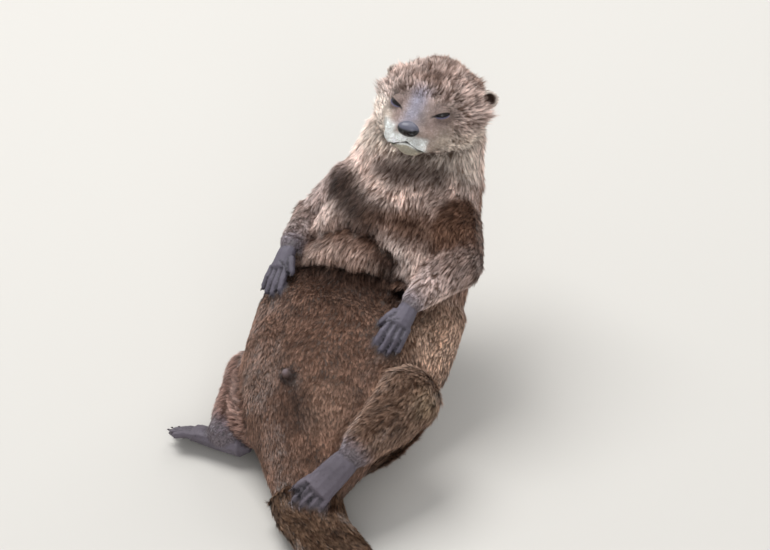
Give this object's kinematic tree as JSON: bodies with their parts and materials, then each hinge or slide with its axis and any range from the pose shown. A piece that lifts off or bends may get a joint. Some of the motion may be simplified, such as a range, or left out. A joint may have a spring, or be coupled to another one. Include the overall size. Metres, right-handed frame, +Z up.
{
  "type": "otter",
  "caption": "Life-size small-clawed otter reclining on its rump and back, head raised, forepaws on its belly, thick tail on the floor; a still display figure.",
  "frame": {"origin": "point of the floor under the otter's hips, on the flat that its rump and back rest on", "axes": "+Y from the hips towards the head end, +X to the otter's left, +Z up from the floor"},
  "size_m": [0.2693, 0.545, 0.2372],
  "materials": {
    "coat_brown": "dense damp brown fur in fine clumped tufts",
    "coat_pale": "pale grey-beige fur, damp and clumped",
    "paw": "slate-grey skin under very short velvet fur, with small blunt claws",
    "nose_pad": "moist dark grey nose pad",
    "eye": "wet dark brown-black eye"
  },
  "bodies": {
    "root": {"eye_left": "eye", "eye_right": "eye", "nose": "nose_pad", "head": "coat_pale", "ear_left": "coat_brown", "ear_right": "coat_brown", "thorax": "coat_pale", "neck": "coat_pale", "abdomen": "coat_brown", "tail_base": "coat_brown", "tail_middle": "coat_brown", "tail_tip": "coat_brown", "foot_left": "paw", "foot_right": "paw", "shank_left": "coat_brown", "shank_right": "coat_brown", "thigh_left": "coat_brown", "thigh_right": "coat_brown", "hand_left": "paw", "hand_right": "paw", "forearm_left": "coat_brown", "forearm_right": "coat_brown", "upper_arm_left": "coat_brown", "upper_arm_right": "coat_brown"}
  },
  "joints": []
}
